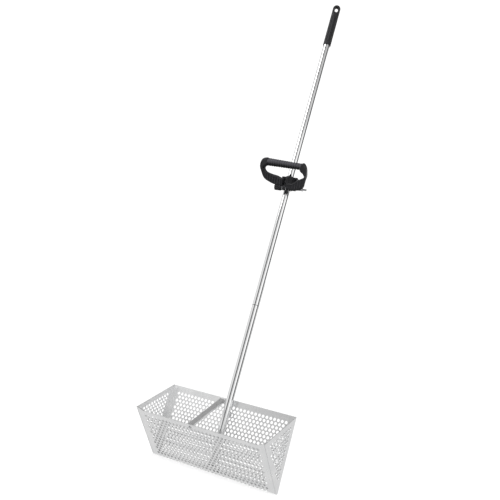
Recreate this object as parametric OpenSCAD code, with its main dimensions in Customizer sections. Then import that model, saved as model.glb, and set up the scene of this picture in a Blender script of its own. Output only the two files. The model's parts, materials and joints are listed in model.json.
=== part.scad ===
// Long-handled beach sand scoop: a V-shaped perforated trough on a two-piece pole,
// with a clamped D-handle part way up and a grip at the top.
// Millimetres. +Z runs up the pole, X along the trough, and the mouth faces -Y.

/* [Trough] */
// Overall length of the trough
basket_length = 380; // [300:1:460]
// Height of the back panel, from the bottom of the fold to its rim
back_height = 190; // [150:1:230]
// Length of the sloping front panel, from the fold to its corner tips
front_length = 170; // [140:1:205]
// Slope of the front panel above the horizontal
front_angle = 39; // [34:1:46]
// Thickness of the trough's sheet metal
sheet = 1.5; // [1:0.1:2]
// Inside radius of the bottom fold
fold_radius = 3; // [2.5:0.1:4]
// How far the front rim dips below the corner tips
rim_dip = 9; // [4:0.5:12]
// Length of the rise from the front rim to a corner tip
ear_length = 20; // [12:1:30]
// Width of the end panels' inward flanges
flange_width = 12; // [8:0.5:14]
// Open groove between a panel's edge and the end panel
seam_gap = 0.6; // [0.3:0.1:1]

/* [Perforation] */
// Diameter of the sifting holes
hole_d = 8; // [5:0.5:9]
// Distance between neighbouring holes
hole_pitch = 11.1; // [10.5:0.1:14]
// Plain strip along the back rim
back_strip = 15.5; // [12:0.5:20]
// Plain strip along the front rim
front_strip = 11.5; // [10:0.5:16]
// Plain strip along the ends of the long panels
side_strip = 15; // [15:0.5:22]
// Plain strip along the sloping edges of the end panels
end_strip = 12; // [8:0.5:18]

/* [Cross brace] */
// Position of the brace along the trough, from the middle
brace_x = -26; // [-60:1:-20]
// Width of the brace
brace_width = 16; // [12:0.5:20]
// Depth of the brace's side flanges
brace_depth = 5; // [3:0.5:8]
// Diameter of a rivet's shank
rivet_d = 4; // [3:0.5:4.5]
// Metal of a tab beyond its rivet's collar
tab_margin = 1; // [0.5:0.1:1.5]

/* [Pole] */
// Overall height of the scoop
overall_height = 1405; // [1200:5:1700]
// Outside diameter of the pole's tubes
tube_d = 19; // [16:0.5:25]
// Wall of the pole's tubes
tube_wall = 1.2; // [1:0.1:2]
// Height of the joint between the two tubes
joint_height = 447; // [380:1:560]
// Thickness of the ring in that joint
ring_thickness = 1.2; // [0.8:0.1:3]
// Diameter of the joint's screw thread
thread_d = 10; // [8:0.5:11]
// Length of the joint's screw thread
thread_length = 20; // [14:1:30]
// Gap that the saddles fill between the tube and the back panel
pole_gap = 1.5; // [1:0.1:4]
// Diameter of the screws that hold the tube to the back panel
pole_screw_d = 6; // [4:0.5:6]
// Diameter of the washers under those screws
pole_washer_d = 18; // [14:0.5:22]

/* [End grip] */
// Length of the grip at the top of the pole
grip_length = 140; // [110:1:180]
// Wall of the grip over the tube
grip_wall = 1.9; // [1.5:0.1:3]
// Solid length of the grip above the tube
grip_tip = 34; // [30:1:45]
// Thickness of the flattened tip
tip_thickness = 13; // [10:0.5:16]
// Width of the hanging slot
slot_width = 9.5; // [7:0.5:10]
// Length of the hanging slot
slot_length = 20; // [14:0.5:22]
// Direction that the hanging slot faces, turned about the pole
slot_turn = 28; // [0:1:90]

/* [Clamp] */
// Height of the middle of the clamp
clamp_height = 810; // [600:1:1000]
// Length of the clamp along the pole
clamp_length = 37; // [32:1:46]
// Thickness of the liner under the clamp
liner_wall = 1.2; // [0.8:0.1:2]
// Wall of the clamp's collar
collar_wall = 2.6; // [2:0.1:6]
// Gap between the two clamp halves
clamp_split = 0.8; // [0.5:0.1:2]
// Diameter of the clamp screws
clamp_screw_d = 4; // [3:0.5:5]
// Width of the ears beyond the collar
ear_width = 10; // [9:0.5:14]
// Thickness of one clamp half's ears
clamp_ear = 5.6; // [4:0.2:8]
// How far the handle's stud lies below the middle of the clamp
hub_drop = 22; // [14:1:26]
// Direction that the handle faces, turned about the pole
handle_turn = 6; // [-20:1:20]

/* [D-handle] */
// Forward lean of the loop
loop_lean = 29; // [15:1:60]
// Sideways slope of the loop's bar
loop_cant = 3.5; // [0:0.5:5]
// Reach of the loop to the left of the pole
loop_left = 76; // [70:1:90]
// Reach of the loop to the right of the pole
loop_right = 60; // [56:1:74]
// Distance from the stud to the middle of the loop's bar
loop_height = 65; // [62:1:90]
// Half height of the loop's corners beside the grip sleeve
corner_half = 9; // [7:0.5:10]
// Depth of the loop's arms
arm_depth = 18; // [14:1:24]
// Thickness of the loop's sides
arm_thick = 7; // [5:0.5:9]
// Radius of the loop's bar inside the grip sleeve
bar_r = 6; // [5:0.5:8]
// Radius of the grip sleeve on the bar
sleeve_r = 9.6; // [9:0.1:12]
// Height of the ribs on the grip sleeve
rib_height = 0.9; // [0.5:0.1:1.5]
// Number of ribs on the grip sleeve
rib_count = 12; // [6:1:16]
// Radius of the eyes round the stud
eye_r = 8; // [7:0.5:10]
// Half width of the clamp's hub between the eyes
hub_half = 5; // [4.5:0.5:9]
// Thickness of the eyes
eye_thick = 4.5; // [4:0.5:6]
// Diameter of the stud
stud_d = 5; // [4:0.5:6]
// Diameter of the tightening knob
knob_d = 19; // [16:0.5:20]
// Length of the tightening knob
knob_length = 17; // [12:0.5:22]
// Length of stud beyond the right boss
stud_tip = 11; // [4:0.5:15]

/* [Hidden] */

eps = 0.01;
lap = 0.2;           // overlap that joins two stretches of one sheet
fit = 0.05;          // radial clearance of a running fit
hole_clear = 0.2;    // radial clearance round a screw or rivet
$fn = 64;

// Trough section, in u forward of the back face and z up
hole_r = hole_d / 2;
row_pitch = hole_pitch * sqrt(3) / 2;
fold_outer = fold_radius + sheet;
fold_u = fold_outer;
fold_z = fold_outer;
slope = [cos(front_angle), sin(front_angle)];
outward = [sin(front_angle), -cos(front_angle)];
function front_point(v, offset) = [fold_u, fold_z] + offset * outward + v * slope;
tip_point = front_point(front_length, fold_outer);
panel_half = basket_length / 2 - sheet - seam_gap;
back_span = back_height - fold_z;
rim_v = front_length - rim_dip;
fold_steps = 16;
fold_hole_r = min(hole_r, fold_outer * sin(45 + front_angle / 2) - 0.4);
flange_start = 14;
flange_end = 4;

// Cross brace, in [u, z]: its top runs from the back panel to the front panel
brace_inset = 2;      // how far the brace lies below the rims
rivet_collar = 1.2;
rivet_reach = 0.75 * rivet_d + 0.3;
brace_top = [sheet, back_height - brace_inset];
brace_end = front_point(rim_v - brace_inset, fold_radius);
brace_along = (brace_end - brace_top) / norm(brace_end - brace_top);
brace_down = [brace_along[1], -brace_along[0]];

// Where the line through p along d meets the line through q along e
function meet(p, d, q, e) = p + d * cross(q - p, e) / cross(d, e);

// Both ends of a line along the brace, this deep under its top and this far inside the panels
function under_brace(depth, inside) = [
    meet([sheet + inside, 0], [0, 1], brace_top + depth * brace_down, brace_along),
    meet(front_point(0, fold_radius - inside), slope, brace_top + depth * brace_down,
        brace_along)];

rivet_limit = under_brace(sheet, sheet + rivet_collar);
back_rivet_z = rivet_limit[0][1] - rivet_reach;
front_rivet_v = (rivet_limit[1] - [fold_u, fold_z]) * slope - rivet_reach;
back_tab = brace_top[1] - back_rivet_z + 0.75 * rivet_d + tab_margin;
front_tab = rim_v - brace_inset - front_rivet_v + 0.75 * rivet_d + tab_margin;

// Pole and clamp
tube_r = tube_d / 2;
tube_inner_r = tube_r - tube_wall;
liner_r = tube_r + fit + liner_wall;
collar_inner_r = liner_r + fit;
collar_r = collar_inner_r + collar_wall;
pole_u = sheet + pole_gap + tube_r;

// The origin is the middle of the scoop's depth
nut_height = 3.2;
head_height = 3;
pole_washer_t = 1.5;
rear_reach = max(pole_washer_t + head_height, collar_r - pole_u);
back_y = (tip_point[0] - rear_reach) / 2;
pole_y = back_y - pole_u;

// Pole fixing
saddle_width = 9;
saddle_height = 15;
screw_rows = [2, 14];
function back_row_v(i) = back_span - back_strip - hole_r - i * row_pitch;
screw_heights = [for (i = screw_rows) fold_z + back_row_v(i)];
foot_clear = 3;
foot_cap_t = 2.5;
foot_rise = (pole_u + tube_r - fold_u) * tan(front_angle) + foot_clear;
tube_foot = foot_rise + foot_cap_t;
foot_plug = 10;
insert_foot = tube_foot + foot_plug + 2;
insert_top = back_height + 5;
socket_length = thread_length + 14;
thread_relief = 2;
ring_seat = 0.03;     // gap on each side of the joint's ring
ring_top = joint_height + ring_thickness;

// D-handle
stud_r = stud_d / 2;
hub_u = collar_r + 1 + eye_r;
hub_neck = hub_drop - clamp_length / 2 + 14;
eye_start = hub_half + 1;
left_eye_end = eye_start + eye_thick;
knob_start = left_eye_end + 1;
recess_end = knob_start + knob_length + 1;
sleeve_start = arm_thick + 8 - loop_left;
sleeve_end = loop_right - arm_thick - 8;
boss_r = 6.5;
boss_end = loop_right - 5;
bar_top = loop_height + corner_half;
bar_low = loop_height - corner_half;
corner_r = 14;        // outer corners beside the bar
inner_corner_r = 6;
heel_r = 9;           // outer corner of the right heel
heel_set = 3;         // how far the heel is set in from the loop's right side
heel_notch = 27;      // start of the notch between the hub and the heel
heel_top = 33;        // height at which the heel meets the right arm
hub_top = 15;         // top of the base beside the hub, on the right
strap_knee = 15;      // set-in and height of the knee under the left arm
strap_low = 5;        // underside of the strap beside the knob
strap_hub = 24;       // top of the strap beside the hub
strap_top = 34;       // height at which the strap meets the left arm
arm_low = 42;         // lower end of the left arm's straight outer side
rib_pitch = 7.5;      // ribs on the strap's faces
rib_wall = 2;
pocket_depth = 1.5;
stud_nut_af = 8;
stud_nut_t = 4;
washer_gap = 0.1;
sleeve_gap = 0.3;
stud_seat = 3;        // plastic left between the stud's end and the knob's face
clamp_screw_x = collar_r + ear_width / 2 - 1;
clamp_screw_z = clamp_length / 2 - 8;
head_r = 3.6;

// ---- helpers -------------------------------------------------------------

// Extrudes a section drawn in [-u, z] along X
module along_x(x0, x1) {
    translate([x0, back_y, 0])
        rotate([90, 0, 90])
            linear_extrude(x1 - x0)
                children();
}

// A plate on the back panel's plane, drawn in [x, height above the fold]
module on_back() {
    translate([0, back_y, fold_z])
        rotate([90, 0, 0])
            linear_extrude(sheet)
                children();
}

// A plate on the front panel's slope, drawn in [x, distance from the fold]
module on_front(offset, thickness = sheet) {
    translate([0, back_y - fold_u, fold_z])
        rotate([180 - front_angle, 0, 0])
            translate([0, 0, offset])
                linear_extrude(thickness)
                    children();
}

// Staggered holes between v_low and v_high, in rows that run along X
module holes_2d(half, v_low, v_high) {
    rows = floor((v_high - v_low - hole_d) / row_pitch);
    for (i = [0:rows]) {
        shift = (i % 2) * 0.5;
        n = floor((half - hole_r) / hole_pitch - shift);
        for (j = [(shift > 0 ? -n - 1 : -n):n])
            translate([(j + shift) * hole_pitch, v_high - hole_r - i * row_pitch])
                circle(r = hole_r);
    }
}

module on_pole(z) {
    translate([0, pole_y, z])
        children();
}

// The clamp's own frame: pole axis, turned to face the user
module at_clamp() {
    on_pole(clamp_height)
        rotate([0, 0, handle_turn])
            children();
}

// The loop's own frame: the stud lies along X, Z runs up the loop
module at_loop() {
    at_clamp()
        translate([0, -hub_u, -hub_drop])
            rotate([loop_lean, 0, 0])
                children();
}

module tube(r, wall, length) {
    difference() {
        cylinder(r = r, h = length);
        translate([0, 0, -1])
            cylinder(r = r - wall, h = length + 2);
    }
}

// A cylinder along X from x0 to x1
module rod_x(r, x0, x1) {
    translate([x0, 0, 0])
        rotate([0, 90, 0])
            cylinder(r = r, h = x1 - x0);
}

// A cylinder along Y from y0 to y1
module rod_y(r, y0, y1) {
    translate([0, y1, 0])
        rotate([90, 0, 0])
            cylinder(r = r, h = y1 - y0);
}

module hex_y(flats, y0, y1) {
    translate([0, y1, 0])
        rotate([90, 0, 0])
            cylinder(r = flats / sqrt(3), h = y1 - y0, $fn = 6);
}

// ---- trough --------------------------------------------------------------

// Section points of the front panel along the fold, at a distance r from the fold's middle
function fold_arc(r) = [for (i = [0:fold_steps])
    let (a = 180 + (90 + front_angle) * i / fold_steps)
    [-fold_u - r * cos(a), fold_z + r * sin(a)]];

function reversed(points) = [for (i = [len(points) - 1:-1:0]) points[i]];

// A point given in [u, z], as [-u, z] for along_x
function drawn(p) = [-p[0], p[1]];

module fold_holes() {
    last = floor(panel_half / hole_pitch);
    for (j = [-last:last])
        if (abs((j + 0.5) * hole_pitch) + hole_r + side_strip <= panel_half + eps)
            translate([(j + 0.5) * hole_pitch, back_y - fold_u, fold_z])
                rotate([135 + front_angle / 2, 0, 0])
                    cylinder(r = fold_hole_r, h = 2 * fold_outer);
}

module front_panel() {
    color("gainsboro")
        difference() {
            along_x(-panel_half, panel_half)
                polygon(concat(fold_arc(fold_outer), [drawn(tip_point),
                    drawn(front_point(front_length, fold_radius))],
                    reversed(fold_arc(fold_radius))));
            on_front(0, 2 * fold_outer) {
                holes_2d(panel_half - side_strip, 1, rim_v - front_strip);
                translate([brace_x, front_rivet_v])
                    circle(d = rivet_d);
                polygon([[-panel_half, front_length + 1], [-panel_half, front_length],
                    [ear_length - panel_half, rim_v], [panel_half - ear_length, rim_v],
                    [panel_half, front_length], [panel_half, front_length + 1]]);
            }
            fold_holes();
        }
}

module back_panel() {
    color("gainsboro")
        on_back()
            difference() {
                translate([-panel_half, 0])
                    square([2 * panel_half, back_span]);
                holes_2d(panel_half - side_strip, 1, back_span - back_strip);
                translate([brace_x, back_rivet_z - fold_z])
                    circle(d = rivet_d);
            }
}

// Outline of an end panel in [-u, z]
module end_outline() {
    polygon(concat([[0, back_height]], fold_arc(fold_outer), [drawn(tip_point)]));
}

module end_holes() {
    top = [0, back_height];
    tip = drawn(tip_point);
    edge = (tip - top) / norm(tip - top);
    inward = [-edge[1], edge[0]];
    rows = ceil(back_height / row_pitch);
    columns = ceil(norm(tip - top) / hole_pitch);
    for (i = [0:rows], j = [0:columns]) {
        w = end_strip + hole_r + i * row_pitch;
        s = (j + (i % 2) * 0.5) * hole_pitch;
        p = top + s * edge + w * inward;
        q = [-p[0] - fold_u, p[1] - fold_z];
        if (-p[0] >= end_strip + hole_r && q * outward <= fold_outer - end_strip - hole_r)
            translate(p)
                circle(r = hole_r);
    }
}

// The right end panel, with its flanges turned inward behind the long panels
module end_panel() {
    outer = basket_length / 2;
    color("silver") {
        along_x(outer - sheet, outer)
            difference() {
                end_outline();
                end_holes();
            }
        along_x(outer - sheet - flange_width, outer - sheet + lap)
            polygon([[-sheet, flange_start], [-2 * sheet, flange_start],
                [-2 * sheet, back_height - flange_end], [-sheet, back_height - flange_end]]);
        translate([outer - sheet - flange_width, 0, 0])
            on_front(fold_radius - sheet)
                translate([0, flange_start])
                    square([flange_width + lap, front_length - flange_start - flange_end]);
    }
}

module right_end_panel() {
    end_panel();
}

module left_end_panel() {
    mirror([1, 0, 0])
        end_panel();
}

// ---- cross brace -----------------------------------------------------------

module cross_brace() {
    web = under_brace(sheet, sheet);
    upper = under_brace(sheet / 2, sheet / 2);
    lower = under_brace(brace_depth, sheet / 2);
    color("silver")
        difference() {
            union() {
                along_x(brace_x - brace_width / 2, brace_x + brace_width / 2)
                    polygon([drawn(brace_top), drawn(brace_end),
                        drawn(brace_end - front_tab * slope),
                        drawn(brace_end - front_tab * slope - sheet * outward),
                        drawn(web[1]), drawn(web[0]),
                        drawn(brace_top + [sheet, -back_tab]),
                        drawn(brace_top + [0, -back_tab])]);
                for (x = [brace_x - brace_width / 2, brace_x + brace_width / 2 - sheet])
                    along_x(x, x + sheet)
                        polygon([drawn(upper[0]), drawn(upper[1]), drawn(lower[1]),
                            drawn(lower[0])]);
            }
            at_back_rivet()
                cylinder(d = rivet_d, h = 6 * sheet, center = true);
            at_front_rivet()
                cylinder(d = rivet_d, h = 6 * sheet, center = true);
        }
}

// A rivet's place, with the rivet's shank along Z and its start on the tab's inner face
module at_back_rivet() {
    translate([brace_x, back_y - 2 * sheet, back_rivet_z])
        rotate([-90, 0, 0])
            children();
}

module at_front_rivet() {
    translate([0, back_y - fold_u, fold_z])
        rotate([180 - front_angle, 0, 0])
            translate([brace_x, front_rivet_v, fold_radius - sheet])
                children();
}

// A domed rivet through two sheets, with a flat collar on the inside
module rivet() {
    grip = 2 * sheet;
    dome_r = 1.15 * rivet_d;
    translate([0, 0, -rivet_collar / 2])
        cylinder(d = rivet_d, h = grip + rivet_collar);
    intersection() {
        translate([0, 0, grip - 0.45 * rivet_d])
            sphere(r = dome_r);
        translate([0, 0, grip])
            cylinder(r = rivet_d, h = dome_r);
    }
    translate([0, 0, -rivet_collar])
        cylinder(d = 1.5 * rivet_d, h = rivet_collar);
}

module brace_rivets() {
    color("darkgray") {
        at_back_rivet()
            rivet();
        at_front_rivet()
            rivet();
    }
}

// ---- pole ------------------------------------------------------------------

module pole_saddles() {
    color("silver")
        for (z = screw_heights)
            on_pole(z)
                difference() {
                    translate([-saddle_width / 2, 0, -saddle_height / 2])
                        cube([saddle_width, pole_u - sheet, saddle_height]);
                    translate([0, 0, -saddle_height])
                        cylinder(r = tube_r, h = 2 * saddle_height);
                    rod_y(pole_screw_d / 2 + hole_clear, 0, pole_u);
                }
}

module pole_screws() {
    color("silver")
        for (z = screw_heights)
            on_pole(z) {
                rod_y(pole_screw_d / 2, 1, pole_u + pole_washer_t + head_height / 2);
                rod_y(pole_screw_d * 0.9, pole_u + pole_washer_t,
                    pole_u + pole_washer_t + head_height);
            }
}

module pole_washers() {
    color("lightgray")
        for (z = screw_heights)
            on_pole(z)
                difference() {
                    rod_y(pole_washer_d / 2, pole_u, pole_u + pole_washer_t);
                    rod_y(pole_screw_d / 2 + hole_clear, pole_u - 1, pole_u + pole_washer_t + 1);
                }
}

module lower_tube() {
    color("gainsboro")
        difference() {
            on_pole(tube_foot)
                tube(tube_r, tube_wall, joint_height - tube_foot);
            for (z = screw_heights)
                on_pole(z)
                    rod_y(pole_screw_d / 2 + hole_clear, 0, tube_r + 2);
        }
}

module tube_insert() {
    color("darkgray")
        difference() {
            on_pole(insert_foot)
                cylinder(r = tube_inner_r - eps, h = insert_top - insert_foot);
            for (z = screw_heights)
                on_pole(z)
                    rod_y(pole_screw_d / 2 + fit, -1, tube_r);
        }
}

module foot_cap() {
    color("dimgray")
        on_pole(foot_rise) {
            cylinder(r = tube_r, h = foot_cap_t);
            cylinder(r = tube_inner_r - eps, h = foot_cap_t + foot_plug);
        }
}

module thread_socket() {
    color("darkgray")
        on_pole(joint_height - socket_length)
            difference() {
                cylinder(r = tube_inner_r - eps, h = socket_length);
                translate([0, 0, socket_length - thread_length - thread_relief])
                    cylinder(d = thread_d + 2 * fit, h = thread_length + thread_relief + 1);
            }
}

module joint_ring() {
    color("black")
        on_pole(joint_height + ring_seat)
            tube(tube_r, tube_r - thread_d / 2 - fit, ring_thickness - 2 * ring_seat);
}

module thread_stud() {
    color("darkgray")
        on_pole(ring_top) {
            cylinder(r = tube_inner_r - eps, h = socket_length);
            translate([0, 0, -ring_thickness - thread_length])
                cylinder(d = thread_d, h = thread_length + ring_thickness + 1);
        }
}

module upper_tube() {
    color("gainsboro")
        on_pole(ring_top)
            tube(tube_r, tube_wall, overall_height - grip_tip - ring_top);
}

module end_grip() {
    grip_r = tube_r + grip_wall;
    slot_z = grip_length - grip_r / 2 - slot_length / 2 - 0.5;
    color("black")
        on_pole(overall_height - grip_length)
            rotate([0, 0, slot_turn])
                difference() {
                    intersection() {
                        union() {
                            cylinder(r = grip_r, h = grip_length - grip_r);
                            translate([0, 0, grip_length - grip_r])
                                sphere(r = grip_r);
                        }
                        union() {
                            translate([-grip_r, -grip_r, 0])
                                cube([2 * grip_r, 2 * grip_r, grip_length - grip_tip + 2]);
                            translate([-grip_r, -tip_thickness / 2, grip_length / 2])
                                cube([2 * grip_r, tip_thickness, grip_length / 2]);
                        }
                    }
                    translate([0, 0, -1])
                        cylinder(r = tube_r, h = grip_length - grip_tip + 1);
                    for (side = [-1, 1])
                        translate([0, 0, slot_z + side * (slot_length - slot_width) / 2])
                            rod_y(slot_width / 2, -grip_r, grip_r);
                    translate([-slot_width / 2, -grip_r, slot_z - (slot_length - slot_width) / 2])
                        cube([slot_width, 2 * grip_r, slot_length - slot_width]);
                }
}

// ---- clamp -----------------------------------------------------------------

module clamp_liner() {
    color("black")
        on_pole(clamp_height - clamp_length / 2)
            tube(liner_r, liner_wall, clamp_length);
}

// Collar and ears of the front half, with side = -1, or of the rear half, with side = 1
module clamp_half(side) {
    reach = collar_r + ear_width;
    difference() {
        union() {
            cylinder(r = collar_r, h = clamp_length, center = true);
            translate([-reach, -clamp_ear - clamp_split / 2, -clamp_length / 2])
                cube([2 * reach, 2 * clamp_ear + clamp_split, clamp_length]);
            if (side < 0)
                hub();
        }
        cylinder(r = collar_inner_r, h = clamp_length + 2, center = true);
        translate([-reach - 1, side < 0 ? -clamp_split / 2 : clamp_split / 2 - 2 * hub_u,
                -clamp_length])
            cube([2 * reach + 2, 2 * hub_u, 2 * clamp_length]);
        for (x = [-1, 1], z = [-1, 1])
            translate([x * clamp_screw_x, 0, z * clamp_screw_z])
                rod_y(clamp_screw_d / 2 + hole_clear, -collar_r, collar_r);
    }
}

module hub() {
    translate([0, -hub_u, -hub_drop])
        difference() {
            union() {
                rod_x(eye_r, -hub_half, hub_half);
                translate([-hub_half, 0, 0])
                    cube([2 * hub_half, hub_u - collar_r, hub_neck]);
                translate([-hub_half, 0, hub_drop - clamp_length / 2])
                    cube([2 * hub_half, hub_u - collar_inner_r - 0.5, hub_neck
                        - hub_drop + clamp_length / 2]);
            }
            rod_x(stud_r + fit, -hub_half - 1, hub_half + 1);
        }
}

module clamp_front() {
    color("black")
        at_clamp()
            clamp_half(-1);
}

module clamp_rear() {
    color("black")
        at_clamp()
            clamp_half(1);
}

module clamp_screws() {
    face = clamp_ear + clamp_split / 2;
    color("silver")
        at_clamp()
            for (x = [-1, 1], z = [-1, 1])
                translate([x * clamp_screw_x, 0, z * clamp_screw_z]) {
                    rod_y(clamp_screw_d / 2, -face - head_height / 2, face + nut_height + 1);
                    rod_y(head_r, -face - head_height, -face);
                }
}

module clamp_nuts() {
    face = clamp_ear + clamp_split / 2;
    color("silver")
        at_clamp()
            for (x = [-1, 1], z = [-1, 1])
                translate([x * clamp_screw_x, 0, z * clamp_screw_z])
                    difference() {
                        hex_y(7, face, face + nut_height);
                        rod_y(clamp_screw_d / 2 + fit, face - 1, face + nut_height + 1);
                    }
}

// ---- D-handle --------------------------------------------------------------

function arc(c, r, a0, a1, steps = 8) = [for (i = [0:steps])
    let (a = a0 + (a1 - a0) * i / steps)
    c + r * [cos(a), sin(a)]];

// Outline of the right side, in [x, z] of the loop's frame: an upright arm and a deep heel
module right_side() {
    inner = loop_right - arm_thick;
    polygon(concat(
        [[0, bar_low], [0, bar_top]],
        arc([loop_right - corner_r, bar_top - corner_r], corner_r, 90, 0),
        arc([loop_right - heel_set - heel_r, heel_r - 1], heel_r, 0, -90),
        [[eye_start, -1], [eye_start, hub_top], [heel_notch, hub_top],
            [heel_notch + 8, hub_top + 10]],
        arc([inner - inner_corner_r, heel_top + inner_corner_r], inner_corner_r, -60, 0),
        arc([inner - inner_corner_r, bar_low - inner_corner_r], inner_corner_r, 0, 90)));
}

// Outline of the left side: an arm that runs into a strap, which slopes down to the hub
module left_side() {
    inner = arm_thick - loop_left;
    polygon(concat(
        [[0, bar_top], [0, bar_low]],
        arc([inner + inner_corner_r, bar_low - inner_corner_r], inner_corner_r, 90, 180),
        arc([inner + 2 * inner_corner_r, strap_top + 2 * inner_corner_r],
            2 * inner_corner_r, 180, 260),
        [[-eye_start, strap_hub], [-eye_start, strap_low], [-recess_end, strap_low],
            [strap_knee - loop_left, strap_knee], [-loop_left, arm_low]],
        arc([corner_r - loop_left, bar_top - corner_r], corner_r, 180, 90)));
}

module d_loop() {
    color("black")
        at_loop()
            difference() {
                union() {
                    rotate([0, loop_cant, 0])
                        translate([0, arm_depth / 2, 0])
                            rotate([90, 0, 0])
                                linear_extrude(arm_depth) {
                                    right_side();
                                    left_side();
                                }
                    rod_x(eye_r, -left_eye_end, -eye_start);
                    translate([-left_eye_end, 2 - arm_depth / 2, 0])
                        cube([eye_thick, arm_depth - 4, strap_low + eye_r]);
                    rod_x(boss_r, eye_start, boss_end);
                    rod_x(eye_r, eye_start, eye_start + eye_thick);
                }
                rod_x(stud_r + fit, -loop_left, loop_left);
                rod_x(knob_d / 2 + 1, -recess_end, -left_eye_end);
                rod_x(eye_r + 1, -eye_start, eye_start);
                bar_relief();
                nut_pocket();
                strap_pockets();
            }
}

// Cuts the bar's square flanks back, so that the grip sleeve has a round core
module bar_relief() {
    rotate([0, loop_cant, 0])
        translate([0, 0, loop_height])
            difference() {
                rod_x(1.5 * corner_half, sleeve_start, sleeve_end);
                rod_x(bar_r, sleeve_start - 1, sleeve_end + 1);
            }
}

// Shallow pockets that leave ribs on both faces of the strap
module strap_pockets() {
    first = strap_knee - loop_left + rib_wall;
    count = floor((-recess_end - first) / rib_pitch);
    for (i = [0:count - 1], side = [-1, 1])
        rotate([0, loop_cant, 0])
            translate([first + i * rib_pitch, side * arm_depth / 2, strap_knee + rib_wall])
                translate([0, -pocket_depth, 0])
                    cube([rib_pitch - rib_wall, 2 * pocket_depth, strap_hub - strap_knee]);
}

module nut_pocket() {
    translate([boss_end - stud_nut_t, 0, 0])
        rotate([0, 90, 0])
            cylinder(r = stud_nut_af / sqrt(3) + 0.1, h = stud_nut_t + 20, $fn = 6);
}

// A ribbed sleeve, rounded at both ends
module bar_grip() {
    length = sleeve_end - sleeve_start - 2 * sleeve_gap;
    step = length / (rib_count + 0.5);
    color([0.18, 0.18, 0.19])
        at_loop()
            rotate([0, loop_cant, 0])
                translate([sleeve_start + sleeve_gap, 0, loop_height])
                    rotate([0, 90, 0])
                        rotate_extrude()
                            polygon(concat(
                                [[bar_r, 0], [bar_r, length]],
                                [for (i = [rib_count - 1:-1:0], p = [3, 2, 1, 0])
                                    [sleeve_r + (p == 1 || p == 2 ? rib_height : 0),
                                        step * (i + 0.35 + p * 0.27)]]));
}

module friction_washers() {
    color("gray")
        at_loop()
            for (x = [-eye_start, hub_half])
                difference() {
                    rod_x(eye_r - 0.5, x + washer_gap, x + 1 - washer_gap);
                    rod_x(stud_r + fit, x - 1, x + 2);
                }
}

module knob_stud() {
    color("silver")
        at_loop()
            rod_x(stud_r, -knob_start - knob_length + stud_seat, boss_end + stud_tip);
}

module tension_knob() {
    color("black")
        at_loop()
            difference() {
                rod_x(knob_d / 2, -knob_start - knob_length, -knob_start);
                for (a = [0:45:315])
                    rotate([a, 0, 0])
                        translate([0, 0, knob_d / 2 + 1.5])
                            rod_x(2.8, -knob_start - knob_length - 1, -knob_start - 3);
                rod_x(stud_r, -knob_start - knob_length + stud_seat, 0);
            }
}

module knob_washer() {
    color("silver")
        at_loop()
            difference() {
                rod_x(eye_r - 1, -knob_start, -left_eye_end - washer_gap);
                rod_x(stud_r + fit, -knob_start - 1, 0);
            }
}

module stud_nut() {
    color("silver")
        at_loop()
            difference() {
                translate([boss_end - stud_nut_t, 0, 0])
                    rotate([0, 90, 0])
                        cylinder(r = stud_nut_af / sqrt(3), h = stud_nut_t, $fn = 6);
                rod_x(stud_r + fit, 0, loop_right);
            }
}

front_panel();
back_panel();
left_end_panel();
right_end_panel();
cross_brace();
brace_rivets();
pole_saddles();
pole_screws();
pole_washers();
lower_tube();
tube_insert();
foot_cap();
thread_socket();
joint_ring();
thread_stud();
upper_tube();
end_grip();
clamp_liner();
clamp_front();
clamp_rear();
clamp_screws();
clamp_nuts();
d_loop();
bar_grip();
friction_washers();
knob_stud();
tension_knob();
knob_washer();
stud_nut();
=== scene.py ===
"""Beach sand scoop: finishes, detailed pieces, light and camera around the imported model.

Metres, in the model's own frame: +Z runs up the pole, +X along the trough, -Y faces the user.
"""
import json
import math

import bmesh
import bpy
from mathutils import Matrix, Vector


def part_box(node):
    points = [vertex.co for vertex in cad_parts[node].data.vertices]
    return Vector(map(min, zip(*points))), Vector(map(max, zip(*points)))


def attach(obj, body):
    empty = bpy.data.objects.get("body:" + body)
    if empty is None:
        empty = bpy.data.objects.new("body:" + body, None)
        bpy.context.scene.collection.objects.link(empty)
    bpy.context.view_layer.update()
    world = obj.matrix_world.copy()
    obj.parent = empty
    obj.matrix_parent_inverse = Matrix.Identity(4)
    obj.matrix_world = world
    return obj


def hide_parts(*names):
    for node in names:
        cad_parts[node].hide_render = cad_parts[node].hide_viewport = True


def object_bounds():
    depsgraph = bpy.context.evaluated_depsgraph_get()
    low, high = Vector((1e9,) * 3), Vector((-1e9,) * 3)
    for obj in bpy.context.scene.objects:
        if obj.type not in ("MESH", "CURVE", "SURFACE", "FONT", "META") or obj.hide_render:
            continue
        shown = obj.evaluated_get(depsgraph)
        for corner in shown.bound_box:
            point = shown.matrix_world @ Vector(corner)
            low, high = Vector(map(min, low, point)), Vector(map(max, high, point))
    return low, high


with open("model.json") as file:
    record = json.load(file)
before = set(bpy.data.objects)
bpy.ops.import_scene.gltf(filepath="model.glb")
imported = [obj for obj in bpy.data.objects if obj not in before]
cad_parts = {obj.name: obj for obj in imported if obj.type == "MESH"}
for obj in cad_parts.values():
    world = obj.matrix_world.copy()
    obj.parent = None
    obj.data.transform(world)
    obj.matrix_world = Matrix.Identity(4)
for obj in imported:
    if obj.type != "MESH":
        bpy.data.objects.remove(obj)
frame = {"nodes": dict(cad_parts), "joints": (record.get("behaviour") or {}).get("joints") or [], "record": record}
CAD_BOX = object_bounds()
NODES = frame["nodes"]
MM = 0.001
WELD_GAP = 0.002 * MM
LATHE_STEPS = 48
# Edges of the new pieces that are blunter than this, in degrees, are shaded smooth
BODY_SMOOTH = 38
SLEEVE_SMOOTH = 50

# ---- small helpers ---------------------------------------------------------


def middle(node):
    low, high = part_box(node)
    return (low + high) / 2


def joint(name):
    return next(j for j in frame["joints"] if j["name"] == name)


def link(obj):
    bpy.context.scene.collection.objects.link(obj)
    return obj


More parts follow.
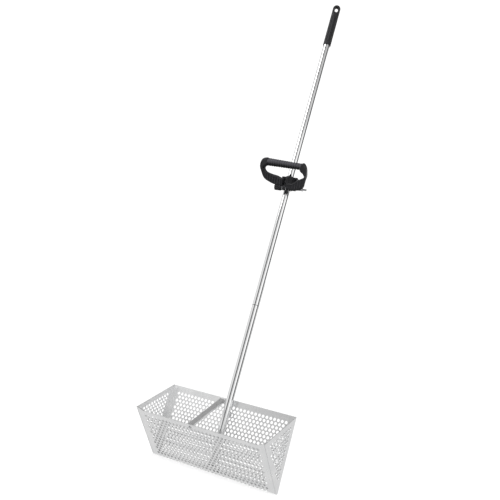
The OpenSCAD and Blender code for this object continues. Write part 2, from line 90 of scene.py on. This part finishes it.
def mesh_object(name, points, faces, smooth_angle):
    mesh = bpy.data.meshes.new(name)
    mesh.from_pydata([tuple(p) for p in points], [], faces)
    mesh.update()
    obj = link(bpy.data.objects.new(name, mesh))
    shade(obj, smooth_angle)
    return obj


def shade(obj, angle):
    """Smooth shading, with edges sharper than the angle kept hard."""
    bm = bmesh.new()
    bm.from_mesh(obj.data)
    bmesh.ops.recalc_face_normals(bm, faces=bm.faces)
    for face in bm.faces:
        face.smooth = True
    for edge in bm.edges:
        edge.smooth = len(edge.link_faces) == 2 and edge.calc_face_angle(0) < math.radians(angle)
    bm.to_mesh(obj.data)
    bm.free()


def bevel_edges(obj, width, angle):
    """Bevels the edges that are sharper than the angle."""
    bevel = obj.modifiers.new("bevel", "BEVEL")
    bevel.width = width
    bevel.segments = 2
    bevel.limit_method = "ANGLE"
    bevel.angle_limit = math.radians(angle)


def round_edges(obj, width):
    """Rounds a CAD node's sharp edges with modifiers alone."""
    weld = obj.modifiers.new("weld", "WELD")
    weld.merge_threshold = WELD_GAP
    bevel_edges(obj, width, 32)
    obj.modifiers.new("normals", "WEIGHTED_NORMAL")


def skin(name, space, rings, smooth_angle):
    """A closed mesh through rings of points with the same count, in mm in the space's frame."""
    count = len(rings[0])
    points = [space @ Vector(p) for ring in rings for p in ring]
    faces = []
    for start in range(0, (len(rings) - 1) * count, count):
        for j in range(count):
            after = (j + 1) % count
            faces.append((start + j, start + after, start + count + after, start + count + j))
    faces.append(tuple(range(count)))
    faces.append(tuple(range(len(points) - count, len(points))))
    return mesh_object(name, points, faces, smooth_angle)


def lathe(name, space, profile):
    """Turns a profile of (place along X, radius) in mm round the space's X axis."""
    turns = [2 * math.pi * k / LATHE_STEPS for k in range(LATHE_STEPS)]
    rings = [[(along, radius * math.cos(a), radius * math.sin(a)) for a in turns]
             for along, radius in profile]
    return skin(name, space, rings, BODY_SMOOTH)


def merge(name, pieces):
    """Joins pieces into one object, with all their points in the row frame."""
    mesh = bpy.data.meshes.new(name)
    bm = bmesh.new()
    for piece in pieces:
        bm.from_mesh(piece.data)
        bpy.data.objects.remove(piece)
    bm.to_mesh(mesh)
    bm.free()
    obj = link(bpy.data.objects.new(name, mesh))
    shade(obj, BODY_SMOOTH)
    return obj


def stand_in(obj, node, body, slot):
    """The piece is shown for a CAD node, moves with its body and takes its finish."""
    finish(obj, slot)
    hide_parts(node)
    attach(obj, body)


# ---- materials -------------------------------------------------------------


# Flutes on the end grip: their number, and the height in metres of their middle and half length
GRIP_FLUTES = 10
GRIP_FLUTES_MID = 1.318
GRIP_FLUTES_HALF = 0.042


class Shader:
    """A Principled material with short calls for its nodes."""

    def __init__(self, name, **values):
        self.material = bpy.data.materials.new(name)
        self.material.use_nodes = True
        self.nodes = self.material.node_tree.nodes
        self.links = self.material.node_tree.links
        self.surface = self.nodes["Principled BSDF"]
        for socket, value in values.items():
            self.surface.inputs[socket.replace("_", " ")].default_value = value
        self.place = self.node("ShaderNodeTexCoord").outputs["Object"]

    def node(self, kind, **inputs):
        made = self.nodes.new(kind)
        for socket, value in inputs.items():
            self.feed(made.inputs[socket.replace("_", " ")], value)
        return made

    def feed(self, socket, value):
        if isinstance(value, bpy.types.NodeSocket):
            self.links.new(value, socket)
        else:
            socket.default_value = value

    def stretched(self, scale):
        mapping = self.node("ShaderNodeMapping", Vector=self.place)
        mapping.inputs["Scale"].default_value = scale
        return mapping.outputs["Vector"]

    def noise(self, scale, detail, stretch=None):
        vector = self.stretched(stretch) if stretch else self.place
        made = self.node("ShaderNodeTexNoise", Vector=vector, Scale=scale, Detail=detail)
        return made.outputs["Fac"]

    def spread(self, value, low, high, start=0.3, end=0.7):
        made = self.node("ShaderNodeMapRange", Value=value)
        made.inputs["From Min"].default_value = start
        made.inputs["From Max"].default_value = end
        made.inputs["To Min"].default_value = low
        made.inputs["To Max"].default_value = high
        return made.outputs["Result"]

    def blend(self, factor, first, second):
        made = self.node("ShaderNodeMix")
        made.data_type = "RGBA"
        self.feed(made.inputs["Factor"], factor)
        made.inputs["A"].default_value = (*first, 1)
        made.inputs["B"].default_value = (*second, 1)
        return made.outputs["Result"]

    def bump(self, height, strength, distance, under=None):
        made = self.node("ShaderNodeBump", Height=height, Strength=strength, Distance=distance)
        if under is not None:
            self.links.new(under, made.inputs["Normal"])
        return made.outputs["Normal"]

    def facing(self, direction, low, high, start, end):
        """Low to high as the surface turns towards a direction of the model's frame."""
        normal = self.node("ShaderNodeNewGeometry").outputs["Normal"]
        dot = self.node("ShaderNodeVectorMath")
        dot.operation = "DOT_PRODUCT"
        self.feed(dot.inputs[0], normal)
        self.feed(dot.inputs[1], Vector(direction).normalized())
        return self.spread(dot.outputs["Value"], low, high, start, end)

    def math(self, operation, *values):
        made = self.node("ShaderNodeMath")
        made.operation = operation
        for i, value in enumerate(values):
            self.feed(made.inputs[i], value)
        return made.outputs[0]

    def flute_height(self):
        """Lengthwise flutes round the pole's axis, between the end grip's rim and its flat tip."""
        parts = self.node("ShaderNodeSeparateXYZ", Vector=self.place)
        depth = self.math("SUBTRACT", parts.outputs["Y"], middle("upper_tube").y)
        turn = self.math("ARCTAN2", depth, parts.outputs["X"])
        wave = self.math("SINE", self.math("MULTIPLY", turn, GRIP_FLUTES))
        ends = self.math("SUBTRACT", parts.outputs["Z"], GRIP_FLUTES_MID)
        inside = self.math("LESS_THAN", self.math("ABSOLUTE", ends), GRIP_FLUTES_HALF)
        return self.math("MULTIPLY", wave, inside)

    def set(self, socket, value):
        self.feed(self.surface.inputs[socket], value)


def sheet_steel():
    """Mill-finished stainless sheet: faint grain along the trough, dull patches and handling marks."""
    s = Shader("sheet_steel", Metallic=1.0)
    patches = s.noise(14, 4)
    grain = s.noise(900, 2, stretch=(0.04, 1, 1))
    marks = s.noise(160, 5, stretch=(1, 0.25, 0.25))
    s.set("Base Color", s.blend(s.spread(patches, 0, 1), (0.88, 0.885, 0.89), (0.96, 0.96, 0.96)))
    s.set("Roughness", s.spread(marks, 0.24, 0.38))
    s.set("Normal", s.bump(grain, 0.10, 0.02 * MM, s.bump(patches, 0.25, 0.4 * MM)))
    return s.material


def tube_steel():
    """Polished stainless tube, with fine lines along its length and faint smudges."""
    s = Shader("tube_steel", Metallic=1.0)
    lines = s.noise(2400, 2, stretch=(1, 1, 0.004))
    smudges = s.noise(30, 5, stretch=(1, 1, 0.35))
    s.set("Base Color", s.blend(s.spread(smudges, 0, 1), (0.80, 0.805, 0.81), (0.88, 0.88, 0.88)))
    s.set("Roughness", s.spread(smudges, 0.07, 0.15))
    s.set("Normal", s.bump(lines, 0.05, 0.01 * MM))
    return s.material


def fastener_steel():
    """Bright plated steel, mottled."""
    s = Shader("fastener_steel", Metallic=1.0)
    patches = s.noise(420, 4)
    s.set("Base Color", s.blend(s.spread(patches, 0, 1), (0.52, 0.53, 0.54), (0.66, 0.66, 0.67)))
    s.set("Roughness", s.spread(patches, 0.22, 0.4))
    s.set("Normal", s.bump(patches, 0.15, 0.05 * MM))
    return s.material


def black_steel():
    """Black-oxide steel, mottled."""
    s = Shader("black_steel", Metallic=0.9)
    patches = s.noise(420, 4)
    s.set("Base Color", s.blend(s.spread(patches, 0, 1), (0.02, 0.02, 0.022), (0.05, 0.05, 0.055)))
    s.set("Roughness", s.spread(patches, 0.3, 0.48))
    s.set("Normal", s.bump(patches, 0.15, 0.05 * MM))
    return s.material


def turned_aluminium():
    """Aluminium with fine turning rings."""
    s = Shader("turned_aluminium", Metallic=1.0)
    rings = s.noise(1500, 2, stretch=(0.02, 0.02, 1))
    s.set("Base Color", s.blend(s.spread(rings, 0, 1), (0.62, 0.63, 0.64), (0.74, 0.74, 0.75)))
    s.set("Roughness", s.spread(rings, 0.25, 0.4))
    s.set("Normal", s.bump(rings, 0.2, 0.02 * MM))
    return s.material


def moulded_plastic(name, dull, top_lit_colour):
    """Black moulded plastic: fine spark texture, patchy roughness, and painted light that makes faces turned up
    and forward lighter and more reflective.
    """
    s = Shader(name)
    texture = s.noise(2600, 3)
    blotches = s.noise(55, 4)
    # Painted light: faces turned up and forward are drawn lighter, in random blotches.
    painted_top_light = s.math("MULTIPLY", s.facing((0.2, -0.75, 0.6), 0.1, 1, 0.1, 0.95),
                  s.spread(blotches, 0.6, 1))
    s.set("Base Color", s.blend(painted_top_light, dull, top_lit_colour))
    # Painted shade: less reflection on faces turned down, more on those turned up.
    s.set("Specular IOR Level", s.facing((0, -0.6, 0.8), 0.12, 0.3, -0.6, 0.4))
    s.set("Roughness", s.spread(blotches, 0.36, 0.54))
    s.set("Normal", s.bump(texture, 0.22, 0.06 * MM))
    return s.material


def grip_rubber(name, top_lit_tint, flutes=False):
    """Soft black grip: a satin skin with a fine grain, and painted light that makes it lighter and more reflective
    where it faces up and forward.
    """
    s = Shader(name, Sheen_Weight=0.05, Sheen_Roughness=0.4)
    texture = s.noise(1800, 4)
    random_mottle = s.noise(90, 5)
    # Painted light: faces turned up and forward are drawn lighter, in a random mottle.
    painted_top_light = s.math("MULTIPLY", s.facing((0.1, -0.9, 0.55), 0.08, 1, 0.2, 0.95),
                  s.spread(random_mottle, 0.7, 1))
    s.set("Base Color", s.blend(painted_top_light, (0.004, 0.004, 0.005), top_lit_tint))
    # Painted shade: less reflection on faces turned down, more on those turned up.
    s.set("Specular IOR Level", s.facing((0, -0.6, 0.8), 0.08, 0.36, -0.5, 0.3))
    s.set("Roughness", s.spread(random_mottle, 0.42, 0.6))
    skin_bump = s.bump(texture, 0.3, 0.08 * MM)
    if flutes:
        skin_bump = s.bump(s.flute_height(), 1.0, 1.1 * MM, skin_bump)
    s.set("Normal", skin_bump)
    return s.material


def black_nylon():
    """Dull black nylon with a fine grain."""
    s = Shader("nylon", Specular_IOR_Level=0.4)
    texture = s.noise(900, 3)
    s.set("Base Color", s.blend(s.spread(texture, 0, 1), (0.010, 0.010, 0.011), (0.018, 0.018, 0.019)))
    s.set("Roughness", s.spread(texture, 0.45, 0.6))
    s.set("Normal", s.bump(texture, 0.2, 0.05 * MM))
    return s.material


# The record's slots, then the handle's ribs and the end grip, which have shades of their own; the ribs' lighter
# shade is a painted highlight
MATERIALS = {
    "sheet_steel": sheet_steel(),
    "tube_steel": tube_steel(),
    "fastener_steel": fastener_steel(),
    "black_steel": black_steel(),
    "turned_aluminium": turned_aluminium(),
    "handle_plastic": moulded_plastic("handle_plastic", (0.006, 0.006, 0.007), (0.03, 0.03, 0.034)),
    "grip_rubber": grip_rubber("grip_rubber", (0.068, 0.066, 0.078)),
    "nylon": black_nylon(),
    # Painted highlight: the ribs are the loop's plastic drawn lighter, so that they stand out as if catching
    # light.
    "ridges": moulded_plastic("handle_ridges", (0.012, 0.012, 0.014), (0.07, 0.07, 0.078)),
    "end_grip": grip_rubber("end_grip_rubber", (0.026, 0.026, 0.029), flutes=True),
}


def finish(obj, name):
    obj.data.materials.clear()
    obj.data.materials.append(MATERIALS[name])


def dress_nodes():
    """Gives every CAD node its own finish, or else that of its slot in the record."""
    for part in frame["record"]["subparts"]:
        node = part["node"]
        finish(NODES[node], node if node in MATERIALS else part["material_slot"])


# ---- the D-handle and the grips --------------------------------------------

LOOP_LEAN = 29
LOOP_CANT = 3.5
BAR_HEIGHT = 65
BAR_R = 6
STUD_R = 2.5

# Stations round the loop, in mm and degrees: outer x and z, inner x and z, depth, twist of the
# depth direction, pocket in the broad faces and corner radius. They run from the hub's right side
# up the right arm, along the bar and down the left arm and the strap to the hub's left side.
LOOP = (
    (5.9, -1, 5.9, 14, 17, 0, 0.0, 3),
    (20, -1, 20, 15, 18, 0, 0.8, 3),
    (31, -0.6, 29.5, 20, 18, 0, 1.2, 3),
    (44, 2.6, 35.5, 26.5, 18, 4, 1.2, 3),
    (54.5, 9.5, 46, 33, 18, 9, 1.0, 3),
    (57.5, 21, 51.5, 36.5, 18, 16, 0.4, 3),
    (59.2, 34, 53.2, 39.5, 18, 22, 0.0, 3),
    (59.8, 47, 52.2, 44, 18, 22, 0.0, 3),
    (59, 58, 48, 48, 18, 16, 0.0, 5),
    (55.8, 68, 42.5, 50.8, 18, 8, 0.0, 6),
    (49, 75.6, 39.5, 53.2, 18, 2, 0.0, 6),
    (44.6, 76.2, 39.5, 55.2, 18, 0, 0.0, 6),
    (44.4, 71, 44.4, 59, 12, 0, 0.0, 5.5),
    (-8, 71, -8, 59, 12, 0, 0.0, 5.5),
    (-60.4, 71, -60.4, 59, 12, 0, 0.0, 5.5),
    (-60.6, 75.4, -60.6, 52.4, 20, 0, 0.0, 8),
    (-66.5, 75.2, -64, 50.5, 19.5, -4, 0.0, 7),
    (-74, 71.5, -67, 48.4, 18, -12, 0.0, 5),
    (-78, 62, -69, 46, 18, -18, 0.0, 3.5),
    (-79.4, 51, -69, 42.5, 18, -22, 0.0, 3),
    (-77.5, 41.5, -65.5, 38.8, 18, -22, 0.4, 3),
    (-71.5, 28.5, -57.5, 35.2, 18, -18, 1.2, 3),
    (-63, 17, -47, 32.6, 18, -12, 1.5, 3),
    (-50, 10.6, -38, 31.0, 18, -6, 1.6, 3),
    (-30, 5.2, -26, 29.2, 18, -1, 1.6, 3),
    (-10.8, 4.6, -11.4, 24.6, 16, 0, 1.0, 3),
    (-6.6, 4.6, -7.8, 23.6, 15, 0, 0.4, 3),
)
LOOP_STEPS = 5
# Arc of a section's corner: number of steps
CORNER_STEPS = 5

# Ribs across the strap and the heel: x, low and high end, turn about Z
RIBS = ((-66, 24, 35, -15), (-58.5, 17.5, 33, -11), (-51, 14.2, 31.5, -8), (-43.5, 11.6, 30, -5),
        (-36, 9.6, 28.6, -3), (-28.5, 8.2, 27.4, -1), (-21, 7.4, 26.4, 0), (-14, 7.4, 25.4, 0),
        (25, 1, 15, 1), (32, 2.4, 20.5, 3), (39, 4, 25, 5), (46, 6.5, 29, 8))
RIB_HALF_WIDTH = 0.8
RIB_HALF_DEPTH = 8.95
RIB_INSET = 0.6

# The eyes at each side of the hub and the boss on the right: place along the stud, radius
LEFT_EYE = ((-10.5, STUD_R), (-10.5, 7.4), (-9.9, 8), (-6.6, 8), (-6, 7.4), (-6, STUD_R))
RIGHT_EYE = ((6, STUD_R), (6, 7.4), (6.6, 8), (10, 8), (10.5, 7.5), (10.5, STUD_R))
BOSS = ((10, STUD_R), (10, 6.4), (28, 5.4), (42, 3.6), (50, 3.2), (50, STUD_R))

# The sleeve on the bar: its ends, and how its radius and height change from left to right
SLEEVE = (-60.7, 44.7)
SLEEVE_R = 9.9
SLEEVE_STEPS = 56
SLEEVE_SWELL = 1.12
SLEEVE_TAPER = 0.19
SLEEVE_RISE = 1.6
# Its finger grooves: their number, the plain length at both ends, the depth below and on top,
# and one groove as (share of the pitch, share of the depth)
GROOVES = 14
GROOVES_PLAIN = 3.5
GROOVE_BELOW = 2.3
GROOVE_ON_TOP = 0.3
GROOVE_TO_RIGHT = 0.4
GROOVE = ((0.0, 0), (0.10, 0.7), (0.2, 1), (0.34, 1), (0.44, 0.6), (0.54, 0), (0.8, -0.15))


def loop_space():
    """From mm in the D-handle's own frame, with X along its stud, to the row frame."""
    tilt = joint("handle_tilt")
    stud = Vector(tilt["axis"]).normalized()
    back = Vector((0, 0, 1)).cross(stud).normalized()
    lean = math.radians(LOOP_LEAN)
    depth = back * math.cos(lean) + Vector((0, 0, 1)) * math.sin(lean)
    turned = Matrix((stud, depth, stud.cross(depth))).transposed().to_4x4()
    return Matrix.Translation(Vector(tilt["pos_m"])) @ turned @ Matrix.Scale(MM, 4)


def canted_space():
    return loop_space() @ Matrix.Rotation(math.radians(LOOP_CANT), 4, "Y")


def between(a, b, c, d, t):
    """Catmull-Rom value at t between b and c."""
    return 0.5 * (2 * b + (c - a) * t + (2 * a - 5 * b + 4 * c - d) * t * t
                  + (3 * b - a - 3 * c + d) * t ** 3)


def is_bar(station):
    """True for the stations of the round bar, which the sleeve hides."""
    return station[1] == BAR_HEIGHT + BAR_R


def run(stations):
    """The stations with smooth ones added between them, but none at the steps beside the sleeve."""
    parts = [[]]
    for station in stations:
        if is_bar(station):
            parts += [[station], []]
        else:
            parts[-1].append(station)
    out = []
    for part in parts:
        for i in range(len(part) - 1):
            four = [part[max(i - 1, 0)], part[i], part[i + 1], part[min(i + 2, len(part) - 1)]]
            for k in range(LOOP_STEPS):
                out.append(tuple(between(*values, k / LOOP_STEPS) for values in zip(*four)))
        out += part[-1:]
    return out


def quarter(half_n, half_d, radius, pocket):
    """One quarter of a loop section, from the middle of its broad face to the middle of its edge."""
    radius = min(radius, half_n * 0.96, half_d * 0.96)
    flat = half_n - radius
    points = [(0, half_d - pocket), (flat * 0.8, half_d - pocket), (flat * 0.86, half_d)]
    for k in range(CORNER_STEPS + 1):
        a = math.radians(90 - 90 / CORNER_STEPS * k)
        points.append((flat + radius * math.cos(a), half_d - radius + radius * math.sin(a)))
    points.append((half_n, 0))
    return points


def section(half_n, half_d, radius, pocket):
    """The whole section: its quarter mirrored into the other three."""
    q = quarter(half_n, half_d, radius, pocket)
    return (q + [(n, -d) for n, d in reversed(q[:-1])]
            + [(-n, -d) for n, d in q[1:]] + [(-n, d) for n, d in reversed(q[1:-1])])


def loop_rings(stations):
    """One section at each station, across from its outer to its inner point."""
    rings = []
    for out_x, out_z, in_x, in_z, depth, twist, pocket, radius in stations:
        across = Vector((out_x - in_x, 0, out_z - in_z))
        thick = across.length
        across.normalize()
        a = math.radians(twist)
        deep = Vector((-math.sin(a), math.cos(a), 0))
        deep = (deep - across * deep.dot(across)).normalized()
        centre = Vector(((out_x + in_x) / 2, 0, (out_z + in_z) / 2))
        rings.append([centre + across * n + deep * d
                      for n, d in section(thick / 2, depth / 2, radius, max(pocket, 0))])
    return rings


def strap_ribs(space):
    """Upright ribs that show on both faces of the strap and of the heel."""
    ribs = []
    for x, low, high, turn in RIBS:
        here = space @ Matrix.Translation((x, 0, 0)) @ Matrix.Rotation(math.radians(turn), 4, "Z")
        low, high = low + RIB_INSET, high - RIB_INSET
        y = RIB_HALF_DEPTH
        rings = [[(side, -y, low), (side, y, low), (side, y, high), (side, -y, high)]
                 for side in (-RIB_HALF_WIDTH, RIB_HALF_WIDTH)]
        ribs.append(skin("rib", here, rings, BODY_SMOOTH))
    ridges = merge("d_handle_ribs", ribs)
    finish(ridges, "ridges")
    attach(ridges, "loop")


def d_handle():
    """The moulded loop: flared arms, a ribbed strap down to the hub, an eye each side and a boss."""
    canted, level = canted_space(), loop_space()
    strap_ribs(canted)
    body = skin("loop_body", canted, loop_rings(run(LOOP)), BODY_SMOOTH)
    turned = [lathe("turned", level, profile) for profile in (LEFT_EYE, RIGHT_EYE, BOSS)]
    obj = merge("d_handle_loop", [body] + turned)
    bevel_edges(obj, 0.35 * MM, 50)
    stand_in(obj, "d_loop", "loop", "handle_plastic")


def sleeve_profile(length):
    """Stations along the sleeve: (place, radius, share of the groove's depth)."""
    pitch = (length - 2 * GROOVES_PLAIN) / GROOVES
    profile = [(0, 0.0, 0), (0, 8.2, 0), (0.6, 9.2, 0), (2.0, 9.7, 0)]
    for i in range(GROOVES):
        for share, groove in GROOVE:
            profile.append((GROOVES_PLAIN + (i + share) * pitch, SLEEVE_R, groove))
    return profile + [(length - 2.0, SLEEVE_R, 0), (length - 0.6, 9.3, 0), (length, 8.2, 0),
                      (length, 0.0, 0)]


def bar_sleeve():
    """The soft sleeve: almost smooth on top, with finger grooves cut into its underside."""
    length = SLEEVE[1] - SLEEVE[0]
    rings = []
    for along, radius, groove in sleeve_profile(length):
        ring = []
        share = along / length
        swell = SLEEVE_SWELL - SLEEVE_TAPER * share ** 0.8
        on_top = GROOVE_ON_TOP + GROOVE_TO_RIGHT * share
        middle_z = BAR_HEIGHT + SLEEVE_RISE * (share - 0.75)
        for k in range(SLEEVE_STEPS):
            a = 2 * math.pi * k / SLEEVE_STEPS
            under = max(0.0, min(1.0, 0.5 - math.sin(a - 0.35) * 1.3))
            depth = groove * (GROOVE_BELOW * under + on_top * (1 - under))
            r = max(radius * swell - depth, 0.01)
            ring.append((SLEEVE[0] + along, r * math.cos(a), middle_z + r * math.sin(a)))
        rings.append(ring)
    stand_in(skin("bar_sleeve", canted_space(), rings, SLEEVE_SMOOTH), "bar_grip", "loop", "grip_rubber")


# ---- stage, light and camera -----------------------------------------------

LENS = 48.46
CAMERA_AT = Vector((0.8761, -1.5290, 0.1519))
CAMERA_AZIMUTH = 30.71
CAMERA_ELEVATION = 13.69
CAMERA_ROLL = 15.70
LIGHT_TARGET = Vector((0, 0, 0.5))
FLOOR_HALF = 40.0
FLOOR_GAP = 0.3 * MM
FLOOR_GLOW = 0.68


def camera():
    """The camera, low at the front right, looking up and rolled so that the scoop leans."""
    azimuth = math.radians(CAMERA_AZIMUTH)
    elevation = math.radians(CAMERA_ELEVATION)
    look = Vector((-math.sin(azimuth) * math.cos(elevation),
                   math.cos(azimuth) * math.cos(elevation), math.sin(elevation)))
    right = look.cross(Vector((0, 0, 1))).normalized()
    up = right.cross(look)
    level = Matrix((right, up, -look)).transposed()
    data = bpy.data.cameras.new("camera")
    data.lens = LENS
    data.sensor_width = 36
    obj = link(bpy.data.objects.new("camera", data))
    turn = Matrix.Rotation(math.radians(CAMERA_ROLL), 3, "Z")
    obj.matrix_world = Matrix.Translation(CAMERA_AT) @ (level @ turn).to_4x4()
    bpy.context.scene.camera = obj


def area_light(name, place, size, watts):
    data = bpy.data.lights.new(name, "AREA")
    data.shape = "SQUARE"
    data.size = size
    data.energy = watts
    obj = link(bpy.data.objects.new(name, data))
    obj.location = place
    obj.rotation_euler = (LIGHT_TARGET - obj.location).to_track_quat("-Z", "Y").to_euler()


def floor():
    """A wide white floor. It glows, so its shadows are faint, and glossy rays miss it."""
    half = FLOOR_HALF
    corners = [(-half, -half, 0), (half, -half, 0), (half, half, 0), (-half, half, 0)]
    obj = mesh_object("floor", corners, [(0, 1, 2, 3)], BODY_SMOOTH)
    obj.location.z = CAD_BOX[0][2] - FLOOR_GAP
    s = Shader("floor_paint", Roughness=0.8)
    s.set("Base Color", s.blend(s.spread(s.noise(3, 3), 0, 1), (0.36, 0.36, 0.36), (0.4, 0.4, 0.4)))
    s.set("Emission Color", (1, 1, 1, 1))
    s.set("Emission Strength", FLOOR_GLOW)
    obj.data.materials.append(s.material)
    obj.visible_glossy = False


# Brightness of the studio walls by compass direction, as shares of a full turn
WALLS = ((0.00, 0.75), (0.06, 0.9), (0.16, 0.92), (0.205, 0.10), (0.26, 0.10), (0.285, 0.68),
         (0.36, 0.75), (0.44, 0.9), (0.48, 0.8), (0.505, 0.06), (0.56, 0.06), (0.61, 0.6),
         (0.67, 0.75), (0.75, 0.65), (0.85, 0.7), (1.00, 0.75))
# The walls' brightness by the sine of the height above the horizon
RISE = ((0.0, 1.0), (0.35, 1.0), (0.7, 0.45), (1.0, 0.4))
# What every ray but a glossy one sees
WHITE = 1.1


def ramp(nodes, links, value, stops):
    """Grey levels by value, straight between the stops."""
    made = nodes.new("ShaderNodeValToRGB")
    links.new(value, made.inputs["Fac"])
    held = made.color_ramp.elements
    while len(held) > 1:
        held.remove(held[-1])
    held[0].position = stops[0][0]
    held[0].color = (*[stops[0][1]] * 3, 1)
    for position, level in stops[1:]:
        held.new(position).color = (*[level] * 3, 1)
    return made.outputs["Color"]


def studio():
    """A white studio: what mirrors in the metal has darker bands between bright walls."""
    world = bpy.data.worlds.new("studio")
    bpy.context.scene.world = world
    world.use_nodes = True
    nodes, links = world.node_tree.nodes, world.node_tree.links
    background = nodes["Background"]
    where = nodes.new("ShaderNodeTexCoord").outputs["Generated"]
    parts = nodes.new("ShaderNodeSeparateXYZ")
    links.new(where, parts.inputs[0])
    angle = nodes.new("ShaderNodeMath")
    angle.operation = "ARCTAN2"
    links.new(parts.outputs["Y"], angle.inputs[0])
    links.new(parts.outputs["X"], angle.inputs[1])
    share = nodes.new("ShaderNodeMapRange")
    share.inputs["From Min"].default_value = -math.pi
    share.inputs["From Max"].default_value = math.pi
    links.new(angle.outputs[0], share.inputs["Value"])
    walls = ramp(nodes, links, share.outputs["Result"], WALLS)
    rise = ramp(nodes, links, parts.outputs["Z"], RISE)
    seen = nodes.new("ShaderNodeMix")
    seen.data_type = "RGBA"
    seen.blend_type = "MULTIPLY"
    seen.inputs["Factor"].default_value = 1.0
    links.new(walls, seen.inputs["A"])
    links.new(rise, seen.inputs["B"])
    rays = nodes.new("ShaderNodeLightPath")
    mix = nodes.new("ShaderNodeMix")
    mix.data_type = "RGBA"
    links.new(rays.outputs["Is Glossy Ray"], mix.inputs["Factor"])
    mix.inputs["A"].default_value = (WHITE, WHITE, WHITE, 1)
    links.new(seen.outputs["Result"], mix.inputs["B"])
    links.new(mix.outputs["Result"], background.inputs["Color"])
    bpy.context.scene.view_settings.view_transform = "Standard"


def lights():
    area_light("key", (-1.8, -2.2, 2.4), 1.4, 22)
    area_light("fill", (2.6, -1.4, 1.2), 2.2, 5)
    area_light("rim", (0.6, 2.4, 1.8), 1.6, 8)


# ---- the build -------------------------------------------------------------

# CAD nodes whose edges are rounded, and by how much in mm
ROUNDED = {"clamp_front": 0.7, "clamp_rear": 0.7, "tension_knob": 0.5, "foot_cap": 0.4, "clamp_nuts": 0.3,
           "stud_nut": 0.3, "pole_screws": 0.5, "clamp_screws": 0.4, "pole_washers": 0.2, "end_grip": 1.2}

camera()
studio()
lights()
floor()
dress_nodes()
d_handle()
bar_sleeve()
for node, millimetres in ROUNDED.items():
    round_edges(NODES[node], millimetres * MM)
